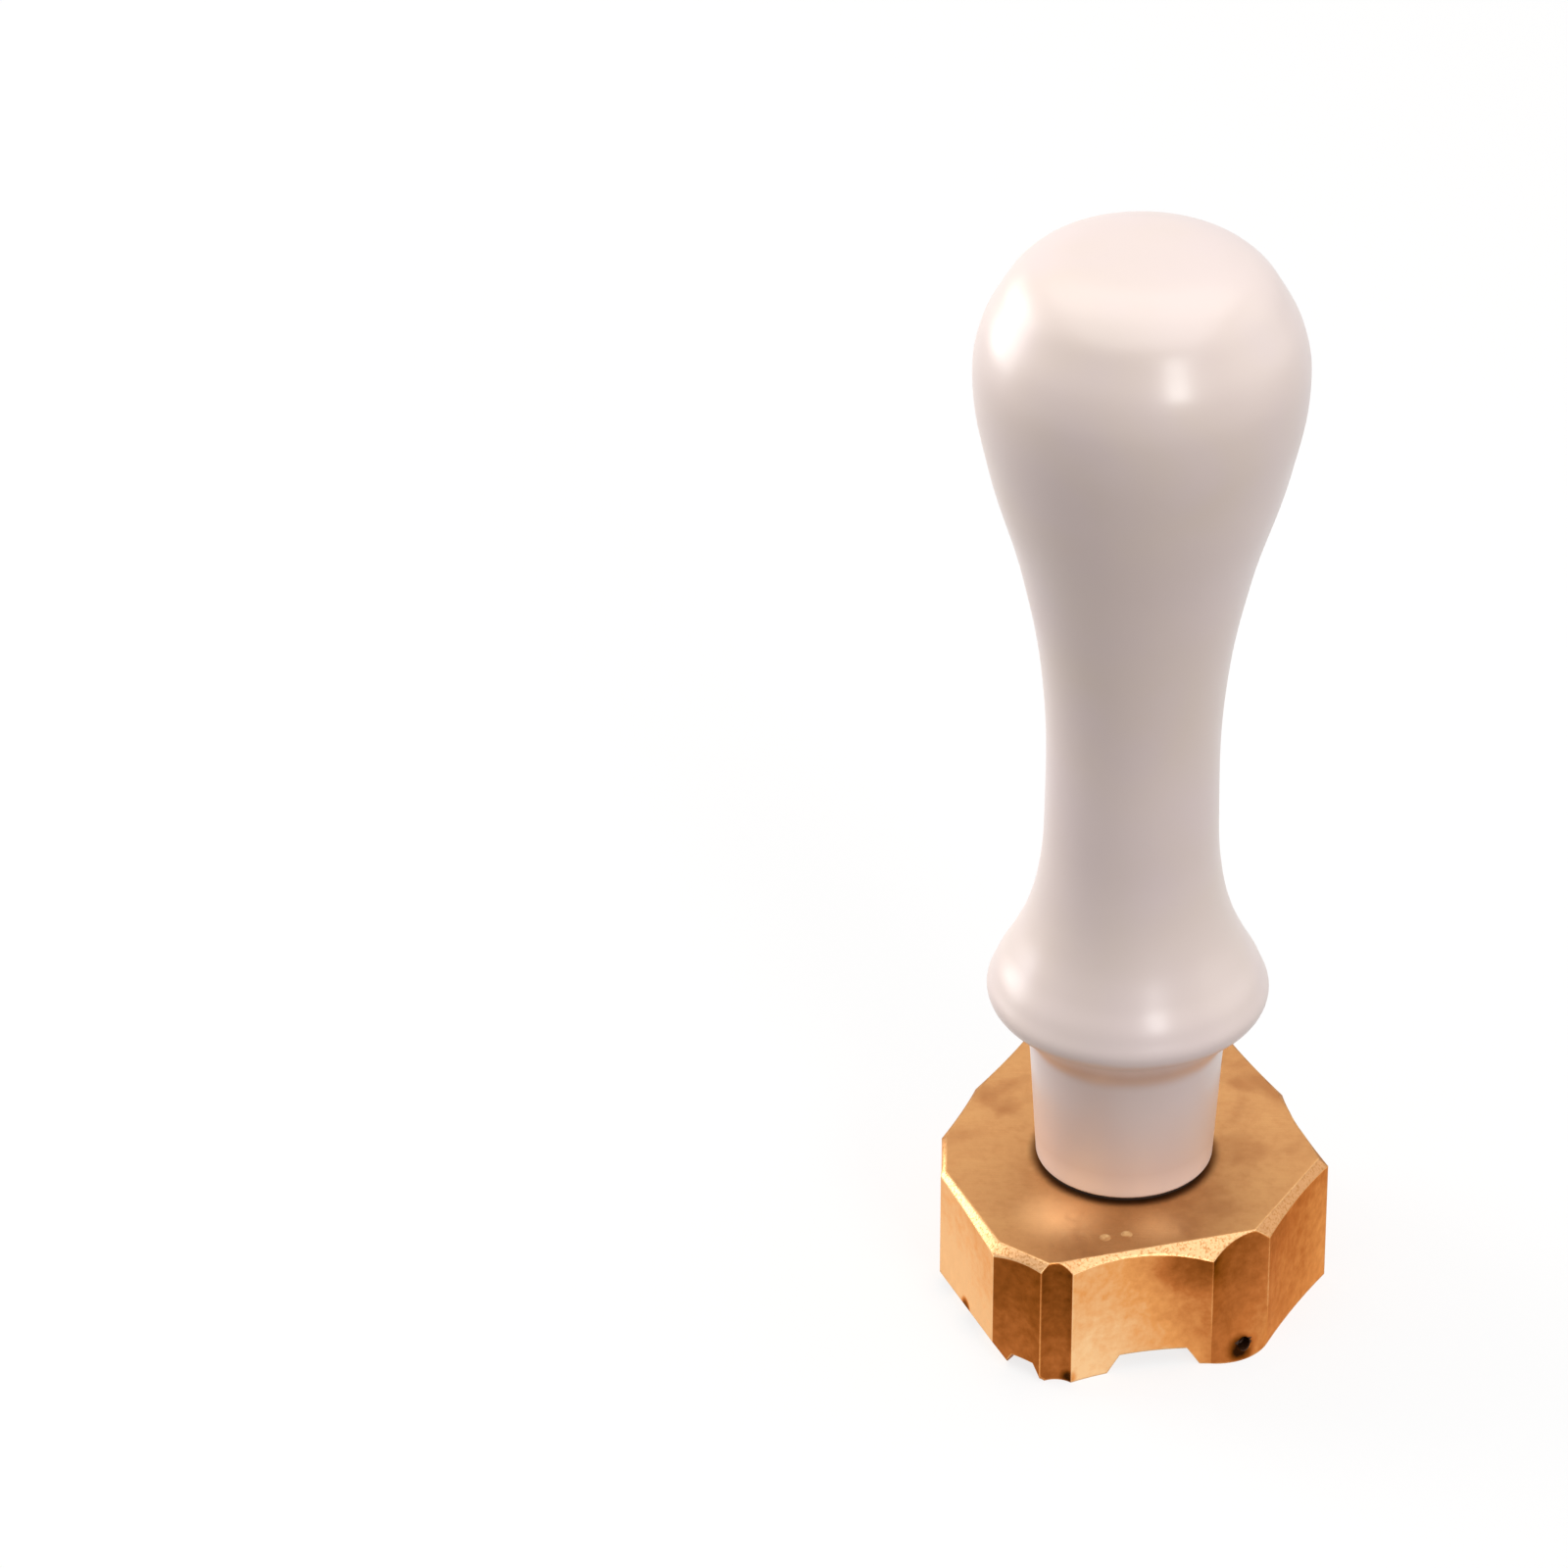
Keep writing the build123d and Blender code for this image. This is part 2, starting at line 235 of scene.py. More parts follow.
def whiteLacquer(look):
    material, tree, _, place = newMaterial("whiteLacquerOnBeech")
    clouds = addNode(tree, "ShaderNodeTexNoise", {
        "Vector": place, "Scale": 1 / look["cloudSize"], "Detail": 1.0})
    warmth = addNode(tree, "ShaderNodeMapRange", {"Value": clouds, "From Min": 0.35, "From Max": 0.65})
    body = addNode(tree, "ShaderNodeMix", {
        0: warmth, 6: paint(look["white"]), 7: paint(look["warmer"])}, data_type="RGBA").outputs[2]
    drift = addNode(tree, "ShaderNodeTexNoise", {
        "Vector": place, "Scale": 2 / look["cloudSize"], "Detail": 1.0})
    pinkness = addNode(tree, "ShaderNodeMapRange", {
        "Value": drift, "From Min": 0.45, "From Max": 0.7, "To Max": look["pinkShare"]})
    body = addNode(tree, "ShaderNodeMix", {
        0: pinkness, 6: body, 7: paint(look["pinker"])}, data_type="RGBA").outputs[2]

    # painted shade in a band under the bead, and painted light towards the foot
    level = addNode(tree, "ShaderNodeSeparateXYZ", {"Vector": place}).outputs["Z"]
    fromBand = addNode(tree, "ShaderNodeMath", {0: level, 1: look["beadShadeHeight"]}, operation="SUBTRACT")
    distance = addNode(tree, "ShaderNodeMath", {0: fromBand}, operation="ABSOLUTE")
    beadShade = addNode(tree, "ShaderNodeMapRange", {
        "Value": distance, "From Min": 0.0, "From Max": look["beadShadeBand"],
        "To Min": look["beadShadeShare"], "To Max": 0.0}, interpolation_type="SMOOTHSTEP")
    body = addNode(tree, "ShaderNodeMix", {
        0: beadShade, 6: body, 7: paint(look["beadShade"])}, data_type="RGBA").outputs[2]
    # painted light, paler towards the foot
    nearFoot = addNode(tree, "ShaderNodeMapRange", {
        "Value": level, "From Min": look["rimHeights"][0], "From Max": look["rimHeights"][1]})
    body = addNode(tree, "ShaderNodeMix", {
        0: nearFoot, 6: body, 7: paint(look["rim"])}, data_type="RGBA").outputs[2]

    # relief: orange peel over the turning rings
    peel = addNode(tree, "ShaderNodeTexNoise", {
        "Vector": place, "Scale": 1 / look["peelSize"], "Detail": 0.0})
    squashed = addNode(tree, "ShaderNodeMapping", {"Vector": place, "Scale": (0.02, 0.02, 1.0)})
    rings = addNode(tree, "ShaderNodeTexNoise", {
        "Vector": squashed, "Scale": 1 / look["ringSize"], "Detail": 1.0})
    ringHeight = addNode(tree, "ShaderNodeMath", {0: rings, 1: look["ringShare"]}, operation="MULTIPLY")
    height = addNode(tree, "ShaderNodeMath", {0: peel, 1: ringHeight}, operation="ADD")
    bump = addNode(tree, "ShaderNodeBump", {
        "Height": height, "Strength": look["relief"], "Distance": look["reliefDepth"] * mm})
    rubbing = addNode(tree, "ShaderNodeTexNoise", {
        "Vector": place, "Scale": 3 / look["cloudSize"], "Detail": 2.0})
    glossier, duller = look["roughnessSpread"]
    dullness = addNode(tree, "ShaderNodeMapRange", {
        "Value": rubbing, "From Min": 0.3, "From Max": 0.75,
        "To Min": look["roughness"] + glossier, "To Max": look["roughness"] + duller})
    shader = addNode(tree, "ShaderNodeBsdfPrincipled", {
        "Base Color": body, "Roughness": dullness, "IOR": look["index"], "Normal": bump,
        "Coat Weight": look["coat"], "Coat Roughness": look["coatRoughness"]})
    addNode(tree, "ShaderNodeOutputMaterial", {"Surface": shader})
    return material


# Finish: bare turned beech, drilled. Pale straw-brown with short dark flecks along the grain.

beechLook = {
    "pale": "#D9B78C",
    "dark": "#B98A5C",
    "fleck": "#8E6440",
    "grainWidth": 0.5,
    "relief": 0.3,
    "reliefDepth": 0.05,
    "roughness": 0.62,
    "index": 1.5,
}


def bareBeech(look):
    material, tree, _, place = newMaterial("drilledBeech")
    along = addNode(tree, "ShaderNodeMapping", {"Vector": place, "Scale": (1.0, 1.0, 0.08)})
    grain = addNode(tree, "ShaderNodeTexNoise", {
        "Vector": along, "Scale": 1 / (3 * look["grainWidth"]), "Detail": 4.0, "Distortion": 0.4})
    grainShare = addNode(tree, "ShaderNodeMapRange", {"Value": grain, "From Min": 0.35, "From Max": 0.65})
    colour = addNode(tree, "ShaderNodeMix", {
        0: grainShare, 6: paint(look["pale"]), 7: paint(look["dark"])}, data_type="RGBA").outputs[2]
    rays = addNode(tree, "ShaderNodeTexNoise", {
        "Vector": along, "Scale": 1 / look["grainWidth"], "Detail": 1.0})
    flecks = addNode(tree, "ShaderNodeMapRange", {"Value": rays, "From Min": 0.66, "From Max": 0.74})
    colour = addNode(tree, "ShaderNodeMix", {
        0: flecks, 6: colour, 7: paint(look["fleck"])}, data_type="RGBA").outputs[2]
    bump = addNode(tree, "ShaderNodeBump", {
        "Height": grain, "Strength": look["relief"], "Distance": look["reliefDepth"] * mm})
    shader = addNode(tree, "ShaderNodeBsdfPrincipled", {
        "Base Color": colour, "Roughness": look["roughness"], "IOR": look["index"], "Normal": bump})
    addNode(tree, "ShaderNodeOutputMaterial", {"Surface": shader})
    return material


# Die: the CAD solid's own shape with its crisp edges, which the brass finish rounds by shading

dieShape = {
    "mergeDistance": 0.002,
    "flatAngle": 0.8,       # degrees, under which triangles join into one face
    "sharpAngle": 24.0,     # degrees, over which an edge stays an edge
    "back": 11.0,           # height of the flat back
    "nickDepth": 0.01,      # a flat place at least this far under the back is in a nick
    "flatLean": 0.85,       # a normal's share of up, over which a face counts as flat
    "chamferLean": 0.4,     # and over which it counts as chamfer rather than wall
    "wallRadius": 12.5,     # walls lie outside this radius
    "pitPlace": (9.48, -11.25, 1.2),   # the middle of the pit in the skirt
    "pitReach": 0.7,
    "relief": 0.45,         # tarnish on the raised design
    "largeFacesLead": 100,  # how strongly large faces set the shading of their corners
}

# Where each wall starts, in degrees about +X, and its tone from 0 to 1, tarnish with painted reflection and
# shade:
# the wall at its start, the wall at its end, and the chamfer above it
wallRows = (
    (-166.8, 0.02, 0.06, 0.05),
    (-126.5, 0.72, 0.74, 0.15),
    (-111.4, 0.76, 0.80, 0.20),
    (-103.3, 0.16, 0.52, 0.00),
    (-60.5, 0.66, 0.50, 0.10),
    (-40.6, 0.50, 0.38, 0.50),
    (-1.1, 0.30, 0.22, 0.35),
    (35.7, 0.46, 0.40, 0.30),
    (62.9, 0.26, 0.50, 0.15),
    (116.1, 0.34, 0.30, 0.30),
    (143.8, 0.20, 0.24, 0.20),
    (173.1, 0.10, 0.05, 0.10),
)


def turnOf(point):
    # a point's direction in plan, in degrees from where the first wall starts
    return (degrees(atan2(point.y, point.x)) - wallRows[0][0]) % 360


def tarnishAndShadeAt(point, faceCentre, onChamfer):
    # a face's tone at one of its corners, tarnish with painted reflection and shade, from the wall or chamfer
    # that it belongs to
    starts = [row[0] - wallRows[0][0] for row in wallRows]
    number = max(n for n, start in enumerate(starts) if start <= turnOf(faceCentre))
    _, atStart, atEnd, chamfer = wallRows[number]
    length = (starts + [360.0])[number + 1] - starts[number]
    along = (turnOf(point) - starts[number] + 180) % 360 - 180
    share = min(max(along / length, 0), 1)
    return chamfer if onChamfer else atStart + (atEnd - atStart) * share ** 2


def makeDie(values, brass):
    shape = bmesh.new()
    shape.from_mesh(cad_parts["die"].data)
    bmesh.ops.remove_doubles(shape, verts=shape.verts, dist=values["mergeDistance"] * mm)
    bmesh.ops.dissolve_limit(
        shape, angle_limit=radians(values["flatAngle"]), verts=shape.verts, edges=shape.edges,
        delimit={"SHARP"})
    softenShading(shape, values["sharpAngle"])

    # what the brass finish needs to know of each face: nicks, and the tone at each corner, tarnish with
    # painted reflection and shade
    worn = shape.faces.layers.float.new("worn")
    tarnishAndShade = shape.loops.layers.float.new("tarnishAndShade")
    pitPlace = Vector(values["pitPlace"]) * mm
    for face in shape.faces:
        centre = face.calc_center_median()
        steepness = face.normal.z
        isSunk = centre.z < (values["back"] - values["nickDepth"]) * mm
        face[worn] = 1.0 if isSunk and steepness > values["flatLean"] else 0.0
        inPit = (centre - pitPlace).length < values["pitReach"] * mm
        outside = centre.xy.length > values["wallRadius"] * mm
        for loop in face.loops:
            # painted shade: the pit's inside takes the darkest tone
            if inPit:
                loop[tarnishAndShade] = 1.0
            elif outside:
                loop[tarnishAndShade] = tarnishAndShadeAt(loop.vert.co, centre, steepness > values["chamferLean"])
            else:
                loop[tarnishAndShade] = values["relief"]
    print("die:", len(shape.verts), "vertices,", len(shape.faces), "faces")
    die = finishPiece(shape, "stampDie", [brass], "die_body", "die")
    weighted = die.modifiers.new("largeFacesLead", "WEIGHTED_NORMAL")
    weighted.mode = "FACE_AREA"
    weighted.weight = values["largeFacesLead"]
    weighted.keep_sharp = True
    return die


# Finish: free-cutting brass, end-milled walls and a lapped back, left bare and tarnished unevenly, with
# reflection and shade painted into the tones of walls and chamfers.
# It gives a satin golden-tan back, walls from pale gold to dark brown, and pale, finely pitted chamfers.

brassLook = {
    "back": "#BE8D5C",
    "backPale": "#C49461",
    "backDark": "#A8754A",
    "freckleShare": 0.35,
    # from pale to dark, tarnish with painted reflection and shade: the tone, and the colour there
    "wallTones": (
        (0.0, "#F8CC96"), (0.25, "#E69E5A"), (0.5, "#BC6F36"),
        (0.7, "#93511F"), (0.85, "#723C10"), (1.0, "#2A1406"),
    ),
    "chamfer": "#C69B70",
    "chamferDull": "#946238",
    "chamferPit": "#9A6B3B",
    "pitShare": 0.8,
    "recess": "#8A5A2C",
    "paintedShade": "#4A2810",         # painted shade along edges that face the floor, and painted shadow round the washer
    "washerShadow": (0.2, 1.1, 0.85),    # from and to how far off the washer's rim, mm, and its strength
    # painted reflection of the handle's lit foot on the back
    "rubbedAndSheen": "#FCCB92",
    # pale edges: wear, with a painted highlight
    "edge": "#EBC78F",
    "edgeShare": 0.8,
    "edgeRadius": 0.3,
    "edgePaling": 0.38,        # how much paler a rubbed edge is, from wear and painted highlight
    "edgeLean": (0.99, 0.86),   # agreement of rounded and flat normals where wear starts and is full
    "edgeOn": "#E7C5B1",        # the metal's own tint where it is seen edge on
    # a normal's share of up, where each kind of surface starts and where it is fully there
    "backLean": (0.86, 0.96),
    "chamferLean": (0.42, 0.55),
    "downLean": (-0.1, -0.4),
    "recessHeights": (0.9, 1.4),        # mm above the tips, likewise
    "pitShadeFrom": 0.85,                  # tone from which the metal turns to the pit's painted shade, near black and not metal
    "cloudSize": 6.0,
    "cloudTone": (-0.06, 0.06),         # least and most that clouds add to the tarnish
    "mottleSize": 0.8,
    "mottleTone": (-0.05, 0.07),
    "footHeights": (1.0, 10.0),
    "footTone": (-0.14, 0.05),          # added to the tarnish at those two heights
    "pitSize": 0.2,             # real about 0.05 mm, drawn coarser so it shows
    "cutterStep": 0.25,         # between cutter lines, mm
    "lapStep": 0.14,            # between lapping scratches, mm
    "lapAngle": 24.0,
    "cutDepth": 0.05,
    "cutStrength": 0.22,
    "roughness": 0.36,
    "backRoughness": 0.48,
    "roughnessSpread": (-0.05, 0.08),
}

# Places of painted shade in mm, its radius, and how much it adds to the tone
shadeSpots = (
    (-12.0, -8.2, 1.6, 1.2, 0.9),
    (-3.9, -15.5, 0.4, 0.9, 0.35),
    (9.3, -11.6, 0.9, 1.5, 0.5),
    (5.4, -13.1, 9.2, 3.6, 0.24),
)

# Places on the back with a painted reflection of the handle's lit foot, in mm, how far each reaches and how
# strongly
footReflectionSpots = ((-4.6, -8.9, 11.0, 4.6, 0.95), (2.8, -10.0, 11.0, 3.2, 0.45))


def milledBrass(look):
    material, tree, normal, place = newMaterial("milledBrass")
    upward = addNode(tree, "ShaderNodeSeparateXYZ", {"Vector": normal}).outputs["Z"]
    level = addNode(tree, "ShaderNodeSeparateXYZ", {"Vector": place}).outputs["Z"]
    nicked = addNode(
        tree, "ShaderNodeAttribute", attribute_name="worn", attribute_type="GEOMETRY").outputs["Fac"]
    tarnishAndShade = addNode(
        tree, "ShaderNodeAttribute", attribute_name="tarnishAndShade", attribute_type="GEOMETRY").outputs["Fac"]

    # edges as a file and wear leave them: rounded, and rubbed pale where the rounding leans away from the
    # face, which also paints a highlight along them
    rounded = addNode(tree, "ShaderNodeBevel", {"Radius": look["edgeRadius"] * mm}, samples=8)
    facing = addNode(tree, "ShaderNodeNewGeometry").outputs["Normal"]
    leaning = addNode(tree, "ShaderNodeVectorMath", {0: rounded, 1: facing}, operation="DOT_PRODUCT")
    onEdge = addNode(tree, "ShaderNodeMapRange", {
        "Value": leaning.outputs["Value"], "From Min": look["edgeLean"][0], "From Max": look["edgeLean"][1]})
    # the pit's own rim gets neither rubbed paleness nor painted highlight
    fromPit = addNode(tree, "ShaderNodeVectorMath", {0: place, 1: dieShape["pitPlace"]}, operation="DISTANCE")
    offPit = addNode(tree, "ShaderNodeMapRange", {
        "Value": fromPit.outputs["Value"],
        "From Min": dieShape["pitReach"], "From Max": 2 * dieShape["pitReach"]})
    onEdge = addNode(tree, "ShaderNodeMath", {0: onEdge, 1: offPit}, operation="MULTIPLY")
    worn = addNode(tree, "ShaderNodeMath", {0: nicked, 1: onEdge}, operation="MAXIMUM")

    # where the surface is: flat back, chamfer, facing down, and the recess of the design
    onBack = addNode(tree, "ShaderNodeMapRange", {
        "Value": upward, "From Min": look["backLean"][0], "From Max": look["backLean"][1]})
    notWall = addNode(tree, "ShaderNodeMapRange", {
        "Value": upward, "From Min": look["chamferLean"][0], "From Max": look["chamferLean"][1]})
    facesDown = addNode(tree, "ShaderNodeMapRange", {
        "Value": upward, "From Min": look["downLean"][0], "From Max": look["downLean"][1]})
    aboveTips = addNode(tree, "ShaderNodeMapRange", {
        "Value": level, "From Min": look["recessHeights"][0], "From Max": look["recessHeights"][1]})
    inRecess = addNode(tree, "ShaderNodeMath", {0: facesDown, 1: aboveTips}, operation="MULTIPLY")

    clouds = addNode(tree, "ShaderNodeTexNoise", {
        "Vector": place, "Scale": 1 / look["cloudSize"], "Detail": 3.0, "Distortion": 0.3})
    mottle = addNode(tree, "ShaderNodeTexNoise", {
        "Vector": place, "Scale": 1 / look["mottleSize"], "Detail": 3.0, "Roughness": 0.6})
    pits = addNode(tree, "ShaderNodeTexNoise", {
        "Vector": place, "Scale": 1 / look["pitSize"], "Detail": 2.0, "Roughness": 0.6})

    # walls: the tone of each, tarnish with painted reflection and shade, clouded and mottled, and a little
    # paler towards the foot
    cloudy = addNode(tree, "ShaderNodeMapRange", {
        "Value": clouds, "From Min": 0.3, "From Max": 0.7,
        "To Min": look["cloudTone"][0], "To Max": look["cloudTone"][1]})
    mottled = addNode(tree, "ShaderNodeMapRange", {
        "Value": mottle, "From Min": 0.3, "From Max": 0.7,
        "To Min": look["mottleTone"][0], "To Max": look["mottleTone"][1]})
    footWards = addNode(tree, "ShaderNodeMapRange", {
        "Value": level, "From Min": look["footHeights"][0], "From Max": look["footHeights"][1],
        "To Min": look["footTone"][0], "To Max": look["footTone"][1]})
    tone = tarnishAndShade
    for added in (cloudy, mottled, footWards):
        tone = addNode(tree, "ShaderNodeMath", {0: tone, 1: added}, operation="ADD")
    paling = addNode(tree, "ShaderNodeMath", {0: worn, 1: look["edgePaling"]}, operation="MULTIPLY")
    tone = addNode(tree, "ShaderNodeMath", {0: tone, 1: paling}, operation="SUBTRACT")
    # painted shade, darker in spots on the walls
    for x, y, z, radius, strength in shadeSpots:
        away = addNode(tree, "ShaderNodeVectorMath", {0: place, 1: (x, y, z)}, operation="DISTANCE")
        spot = addNode(tree, "ShaderNodeMapRange", {
            "Value": away.outputs["Value"], "From Min": 0.3 * radius, "From Max": radius,
            "To Min": strength, "To Max": 0.0}, interpolation_type="SMOOTHSTEP")
        tone = addNode(tree, "ShaderNodeMath", {0: tone, 1: spot}, operation="ADD")
    ramp = addNode(tree, "ShaderNodeValToRGB", {"Fac": tone})
    stops = ramp.color_ramp.elements
    for number, (share, colour) in enumerate(look["wallTones"]):
        stop = stops[number] if number < 2 else stops.new(share)
        stop.position = share
        stop.color = paint(colour)
    wall = ramp.outputs["Color"]

    # back: golden tan with paler and darker clouds, and dark freckles
    paler = addNode(tree, "ShaderNodeMapRange", {"Value": clouds, "From Min": 0.5, "From Max": 0.72})
    back = addNode(tree, "ShaderNodeMix", {
        0: paler, 6: paint(look["back"]), 7: paint(look["backPale"])}, data_type="RGBA").outputs[2]
    darker = addNode(tree, "ShaderNodeMapRange", {"Value": clouds, "From Min": 0.46, "From Max": 0.3})
    freckles = addNode(tree, "ShaderNodeMapRange", {
        "Value": mottle, "From Min": 0.45, "From Max": 0.75, "To Max": look["freckleShare"]})
    for share in (darker, freckles):
        back = addNode(tree, "ShaderNodeMix", {
            0: share, 6: back, 7: paint(look["backDark"])}, data_type="RGBA").outputs[2]
    # painted reflection of the handle's lit foot, in pale spots on the back
    for x, y, z, reach, strength in footReflectionSpots:
        away = addNode(tree, "ShaderNodeVectorMath", {0: place, 1: (x, y, z)}, operation="DISTANCE")
        reflectionShare = addNode(tree, "ShaderNodeMapRange", {
            "Value": away.outputs["Value"], "From Max": reach, "To Min": strength, "To Max": 0.0},
            interpolation_type="SMOOTHSTEP")
        back = addNode(tree, "ShaderNodeMix", {
            0: reflectionShare, 6: back, 7: paint(look["rubbedAndSheen"])}, data_type="RGBA").outputs[2]
    # painted shadow round the washer, where it stands on the back
    ringStart, ringEnd, ringStrength = look["washerShadow"]
    inPlan = addNode(tree, "ShaderNodeVectorMath", {0: place, 1: (1, 1, 0)}, operation="MULTIPLY")
    fromAxis = addNode(tree, "ShaderNodeVectorMath", {0: inPlan}, operation="LENGTH")
    ring = addNode(tree, "ShaderNodeMapRange", {
        "Value": fromAxis.outputs["Value"], "From Min": washerShape["radius"] + ringStart,
        "From Max": washerShape["radius"] + ringEnd, "To Min": ringStrength, "To Max": 0.0},
        interpolation_type="SMOOTHSTEP")
    back = addNode(tree, "ShaderNodeMix", {
        0: ring, 6: back, 7: paint(look["paintedShade"])}, data_type="RGBA").outputs[2]

    # chamfers: pale where cut clean, darker with their row's tone of tarnish and painted shade, pitted all
    # over
    chamfer = addNode(tree, "ShaderNodeMix", {
        0: tarnishAndShade, 6: paint(look["chamfer"]), 7: paint(look["chamferDull"])}, data_type="RGBA").outputs[2]
    pitting = addNode(tree, "ShaderNodeMapRange", {
        "Value": pits, "From Min": 0.5, "From Max": 0.64, "To Max": look["pitShare"]})
    chamfer = addNode(tree, "ShaderNodeMix", {
        0: pitting, 6: chamfer, 7: paint(look["chamferPit"])}, data_type="RGBA").outputs[2]

    # all of it together: rubbed edges with painted highlight over wall, chamfer and back, then painted shade
    # under edges that face the floor, then the pit's painted shade
    rubbedAndSheen = addNode(tree, "ShaderNodeMapRange", {
        "Value": mottle, "From Min": 0.35, "From Max": 0.6, "To Max": look["edgeShare"]})
    for share in (worn, notWall):
        rubbedAndSheen = addNode(tree, "ShaderNodeMath", {0: rubbedAndSheen, 1: share}, operation="MULTIPLY")
    # painted shade along worn edges that face the floor
    shadeUnderEdges = addNode(tree, "ShaderNodeMath", {0: facesDown, 1: worn}, operation="MULTIPLY")
    colour = wall
    for share, over in (
            (notWall, chamfer), (onBack, back), (inRecess, paint(look["recess"])),
            (rubbedAndSheen, paint(look["edge"])), (shadeUnderEdges, paint(look["paintedShade"]))):
        colour = addNode(tree, "ShaderNodeMix", {0: share, 6: colour, 7: over}, data_type="RGBA").outputs[2]
    # painted shade: the pit's inside is drawn near black and not metal, for the dark of the hollow
    metal = addNode(tree, "ShaderNodeMapRange", {
        "Value": tarnishAndShade, "From Min": look["pitShadeFrom"], "From Max": 1.0, "To Min": 1.0, "To Max": 0.0})
    colour = addNode(tree, "ShaderNodeMix", {
        0: metal, 6: paint(look["wallTones"][-1][1]), 7: colour}, data_type="RGBA").outputs[2]

    # relief: cutter lines down the walls, lapping scratches on the back, pits on the chamfers
    upright = addNode(tree, "ShaderNodeMapping", {"Vector": place, "Scale": (1.0, 1.0, 0.06)})
    cutterLines = addNode(tree, "ShaderNodeTexNoise", {
        "Vector": upright, "Scale": 1 / look["cutterStep"], "Detail": 2.0})
    lapping = addNode(tree, "ShaderNodeMapping", {
        "Vector": place, "Scale": (0.05, 1.0, 1.0), "Rotation": (0, 0, radians(look["lapAngle"]))})
    lapLines = addNode(tree, "ShaderNodeTexNoise", {
        "Vector": lapping, "Scale": 1 / look["lapStep"], "Detail": 2.0})
    height = cutterLines
    for share, over in ((notWall, pits), (onBack, lapLines)):
        height = addNode(tree, "ShaderNodeMix", {0: share, 2: height, 3: over}, data_type="FLOAT").outputs[0]
    height = addNode(tree, "ShaderNodeMath", {0: height, 1: mottle}, operation="ADD")
    bump = addNode(tree, "ShaderNodeBump", {
        "Height": height, "Strength": look["cutStrength"], "Distance": look["cutDepth"] * mm,
        "Normal": rounded})
    finish = addNode(tree, "ShaderNodeMapRange", {
        "Value": onBack, "To Min": look["roughness"], "To Max": look["backRoughness"]})
    patchy = addNode(tree, "ShaderNodeMapRange", {
        "Value": mottle, "From Min": 0.25, "From Max": 0.75,
        "To Min": look["roughnessSpread"][0], "To Max": look["roughnessSpread"][1]})
    dullness = addNode(tree, "ShaderNodeMath", {0: finish, 1: patchy}, operation="ADD")
    shader = addNode(tree, "ShaderNodeBsdfPrincipled", {
        "Base Color": colour, "Metallic": metal, "Roughness": dullness, "Normal": bump,
        "Specular Tint": paint(look["edgeOn"])})
    addNode(tree, "ShaderNodeOutputMaterial", {"Surface": shader})
    return material


# Washer: a punched ring of vulcanised fibre

washerShape = {
    "low": 11.0,            # height of its underside above the tips
    "thickness": 0.3,
    "radius": 6.6,
    "bore": 3.3,
    "edgeEase": 0.06,
    "steps": 128,           # round the axis
    "sharpAngle": 40.0,     # degrees, over which an edge stays crisp
}


def makeWasher(values, fibre):
    low, high = values["low"] * mm, (values["low"] + values["thickness"]) * mm
    corners = ((values["bore"] * mm, low), (values["radius"] * mm, low),
               (values["radius"] * mm, high), (values["bore"] * mm, high))
    shape = bmesh.new()
    section = shape.faces.new([shape.verts.new((radius, 0, height)) for radius, height in corners])
    bmesh.ops.bevel(
        shape, geom=section.verts[:], offset=values["edgeEase"] * mm, segments=2, profile=0.5,
        affect="VERTICES", material=-1)
    outline = shape.edges[:]
    bmesh.ops.delete(shape, geom=shape.faces[:], context="FACES_ONLY")
    bmesh.ops.spin(
        shape, geom=shape.verts[:] + outline, cent=(0, 0, 0), axis=(0, 0, 1), angle=radians(360),
        steps=values["steps"], use_merge=True)
    bmesh.ops.recalc_face_normals(shape, faces=shape.faces)
    softenShading(shape, values["sharpAngle"])
    return finishPiece(shape, "fibreWasher", [fibre], "washer_body", "washer")


# Finish: vulcanised fibre, calendered sheet. Matt brown-black with faint paper fibres.

fibreLook = {
    "dark": "#24160E",
    "pale": "#3E2A1C",
    "fibreWidth": 0.36,
    "relief": 0.3,
    "reliefDepth": 0.03,
    "roughness": 0.7,
    "index": 1.5,
}


def vulcanisedFibre(look):
    material, tree, _, place = newMaterial("vulcanisedFibre")
    fibres = addNode(tree, "ShaderNodeTexNoise", {
        "Vector": place, "Scale": 1 / look["fibreWidth"], "Detail": 5.0, "Roughness": 0.7, "Distortion": 2.0})
    paleness = addNode(tree, "ShaderNodeMapRange", {"Value": fibres, "From Min": 0.4, "From Max": 0.75})
    colour = addNode(tree, "ShaderNodeMix", {
        0: paleness, 6: paint(look["dark"]), 7: paint(look["pale"])}, data_type="RGBA").outputs[2]
    bump = addNode(tree, "ShaderNodeBump", {
        "Height": fibres, "Strength": look["relief"], "Distance": look["reliefDepth"] * mm})
    shader = addNode(tree, "ShaderNodeBsdfPrincipled", {
        "Base Color": colour, "Roughness": look["roughness"], "IOR": look["index"], "Normal": bump})
    addNode(tree, "ShaderNodeOutputMaterial", {"Surface": shader})
    return material


# Finish: cold-rolled steel, bright zinc plated. Cool silver with a faint blue and straw cast.

zincLook = {
    "silver": "#C9CBCC",
    "blue": "#B4BDC8",
    "straw": "#CFC7AE",
    "strawShare": 0.7,
    "castSize": 3.0,
    "grainSize": 0.12,
    "relief": 0.15,
    "reliefDepth": 0.02,
    "roughness": 0.28,
    "roughnessSpread": (-0.05, 0.08),
}


